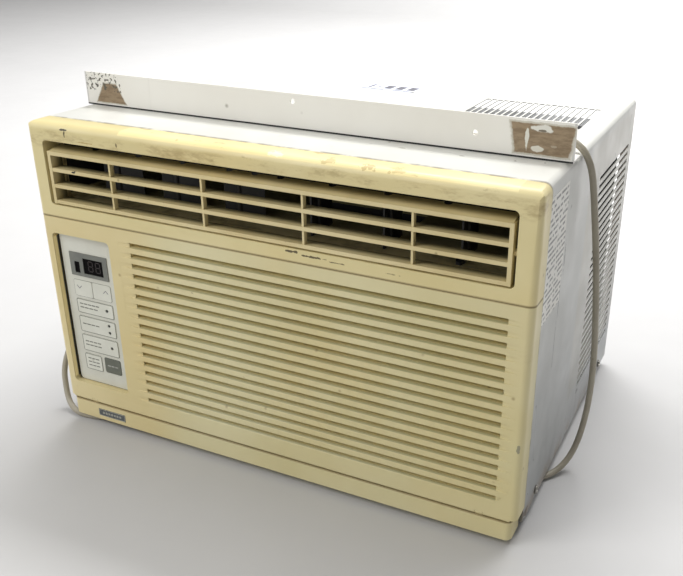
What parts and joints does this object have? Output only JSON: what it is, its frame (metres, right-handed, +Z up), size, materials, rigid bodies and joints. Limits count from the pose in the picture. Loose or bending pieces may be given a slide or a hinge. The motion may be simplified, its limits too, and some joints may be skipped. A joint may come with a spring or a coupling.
{
  "type": "window air conditioner",
  "caption": "Window air conditioner: steel cabinet, moulded front with tilting slotted intake panel, swinging louver over the outlet, membrane controls, sash rail and power cord.",
  "frame": {"origin": "centre of the unit's footprint on the surface it stands on, the cord and plug left out", "axes": "+X to the right of someone facing the front, +Y to the back (outdoor side), +Z up"},
  "size_m": [0.5174, 0.461, 0.332],
  "materials": {
    "galvanised": "dull zinc",
    "cabinet_white": "baked enamel",
    "screw_steel": "plated",
    "front_plastic": "aged moulding",
    "filter_mesh": "woven",
    "badge": "satin",
    "panel_film": "membrane",
    "display_frame": "printed",
    "display_dark": "tinted window",
    "led_lens": "lens",
    "board": "solder mask",
    "capacitor_can": "drawn can",
    "key_film": "membrane",
    "key_dark": "membrane",
    "foam_grey": "moulded foam",
    "dark_plastic": "glass filled",
    "fin_aluminium": "fin stock",
    "copper": "copper tube",
    "white_plastic": "moulded",
    "motor_steel": "enamel",
    "black_steel": "gloss black",
    "rubber_black": "moulded",
    "cord_jacket": "pvc jacket",
    "blade_brass": "plated"
  },
  "bodies": {
    "chassis": {"base_pan": "galvanised", "cabinet": "cabinet_white", "top_rail": "cabinet_white", "rail_screws": "screw_steel", "cabinet_screws": "screw_steel", "front_frame": "front_plastic", "nameplate": "badge", "control_panel": "panel_film", "display_bezel": "display_frame", "display_window": "display_dark", "indicator_leds": "led_lens", "control_box": "galvanised", "circuit_board": "board", "run_capacitor": "capacitor_can", "air_duct": "foam_grey", "scroll_housing": "dark_plastic", "bulkhead": "galvanised", "evaporator_fins": "fin_aluminium", "evaporator_tubes": "copper", "drain_pan": "white_plastic", "fan_motor": "motor_steel", "motor_bracket": "galvanised", "condenser_shroud": "dark_plastic", "condenser_fins": "fin_aluminium", "condenser_tubes": "copper", "compressor": "black_steel", "terminal_cover": "dark_plastic", "compressor_grommets": "rubber_black", "compressor_nuts": "screw_steel", "suction_tube": "copper", "discharge_tube": "copper", "capillary_tube": "copper", "accumulator": "copper", "strain_relief": "cord_jacket", "power_cord": "cord_jacket", "plug_body": "cord_jacket", "plug_blades": "blade_brass"},
    "rotor": {"motor_shaft": "screw_steel", "blower_wheel": "dark_plastic", "condenser_fan": "dark_plastic"},
    "louver": {"louver_frame": "front_plastic"},
    "intake_panel": {"front_panel": "front_plastic", "air_filter": "filter_mesh"},
    "left_vane_1_turn": {"left_vane_1": "front_plastic"},
    "left_vane_2_turn": {"left_vane_2": "front_plastic"},
    "left_vane_3_turn": {"left_vane_3": "front_plastic"},
    "left_link": {"left_tie_bar": "front_plastic"},
    "right_vane_1_turn": {"right_vane_1": "front_plastic"},
    "right_vane_2_turn": {"right_vane_2": "front_plastic"},
    "right_vane_3_turn": {"right_vane_3": "front_plastic"},
    "right_link": {"right_tie_bar": "front_plastic"},
    "key_temp_down_cap": {"key_temp_down": "key_film"},
    "key_temp_up_cap": {"key_temp_up": "key_film"},
    "key_energy_saver_cap": {"key_energy_saver": "key_film"},
    "key_mode_cap": {"key_mode": "key_film"},
    "key_timer_cap": {"key_timer": "key_film"},
    "key_fan_speed_cap": {"key_fan_speed": "key_film"},
    "key_power_cap": {"key_power": "key_dark"}
  },
  "joints": [
    {"name": "rotor_spin", "type": "hinge", "parent": "chassis", "child": "rotor", "pos_m": [0.06, 0, 0.126], "axis": [0, 1, 0], "continuous": true},
    {"name": "louver_swing", "type": "hinge", "parent": "chassis", "child": "louver", "pos_m": [0, -0.1664, 0.2537], "axis": [1, 0, 0], "range_deg": [-12, 18]},
    {"name": "intake_panel_tip", "type": "hinge", "parent": "chassis", "child": "intake_panel", "pos_m": [0, -0.171, 0.0274], "axis": [1, 0, 0], "range_deg": [0, 35]},
    {"name": "left_vane_1_turn_joint", "type": "hinge", "parent": "chassis", "child": "left_vane_1_turn", "pos_m": [-0.172, -0.132, 0.257], "axis": [0, 0, 1], "range_deg": [0, 124]},
    {"name": "left_vane_2_turn_joint", "type": "hinge", "parent": "chassis", "child": "left_vane_2_turn", "pos_m": [-0.107, -0.132, 0.257], "axis": [0, 0, 1], "range_deg": [0, 124]},
    {"name": "left_vane_3_turn_joint", "type": "hinge", "parent": "chassis", "child": "left_vane_3_turn", "pos_m": [-0.042, -0.132, 0.257], "axis": [0, 0, 1], "range_deg": [0, 124]},
    {"name": "left_link_pivot", "type": "hinge", "parent": "left_vane_1_turn", "child": "left_link", "pos_m": [-0.15876, -0.12496, 0.2718], "axis": [0, 0, 1], "range_deg": [-124, 0]},
    {"name": "right_vane_1_turn_joint", "type": "hinge", "parent": "chassis", "child": "right_vane_1_turn", "pos_m": [0.165, -0.132, 0.257], "axis": [0, 0, 1], "range_deg": [-62, 62]},
    {"name": "right_vane_2_turn_joint", "type": "hinge", "parent": "chassis", "child": "right_vane_2_turn", "pos_m": [0.1, -0.132, 0.257], "axis": [0, 0, 1], "range_deg": [-62, 62]},
    {"name": "right_vane_3_turn_joint", "type": "hinge", "parent": "chassis", "child": "right_vane_3_turn", "pos_m": [0.035, -0.132, 0.257], "axis": [0, 0, 1], "range_deg": [-62, 62]},
    {"name": "right_link_pivot", "type": "hinge", "parent": "right_vane_1_turn", "child": "right_link", "pos_m": [0.165, -0.117, 0.2718], "axis": [0, 0, 1], "range_deg": [-62, 62]},
    {"name": "key_temp_down_press", "type": "slide", "parent": "chassis", "child": "key_temp_down_cap", "axis": [0, 1, 0], "range_m": [0, 0.0005], "stiffness_N_per_m": 1500},
    {"name": "key_temp_up_press", "type": "slide", "parent": "chassis", "child": "key_temp_up_cap", "axis": [0, 1, 0], "range_m": [0, 0.0005], "stiffness_N_per_m": 1500},
    {"name": "key_energy_saver_press", "type": "slide", "parent": "chassis", "child": "key_energy_saver_cap", "axis": [0, 1, 0], "range_m": [0, 0.0005], "stiffness_N_per_m": 1500},
    {"name": "key_mode_press", "type": "slide", "parent": "chassis", "child": "key_mode_cap", "axis": [0, 1, 0], "range_m": [0, 0.0005], "stiffness_N_per_m": 1500},
    {"name": "key_timer_press", "type": "slide", "parent": "chassis", "child": "key_timer_cap", "axis": [0, 1, 0], "range_m": [0, 0.0005], "stiffness_N_per_m": 1500},
    {"name": "key_fan_speed_press", "type": "slide", "parent": "chassis", "child": "key_fan_speed_cap", "axis": [0, 1, 0], "range_m": [0, 0.0005], "stiffness_N_per_m": 1500},
    {"name": "key_power_press", "type": "slide", "parent": "chassis", "child": "key_power_cap", "axis": [0, 1, 0], "range_m": [0, 0.0005], "stiffness_N_per_m": 1500}
  ],
  "couplings": [
    {"joint": "left_vane_2_turn_joint", "follows": "left_vane_1_turn_joint", "ratio": 1},
    {"joint": "left_vane_3_turn_joint", "follows": "left_vane_1_turn_joint", "ratio": 1},
    {"joint": "left_link_pivot", "follows": "left_vane_1_turn_joint", "ratio": -1},
    {"joint": "right_vane_2_turn_joint", "follows": "right_vane_1_turn_joint", "ratio": 1},
    {"joint": "right_vane_3_turn_joint", "follows": "right_vane_1_turn_joint", "ratio": 1},
    {"joint": "right_link_pivot", "follows": "right_vane_1_turn_joint", "ratio": -1}
  ]
}
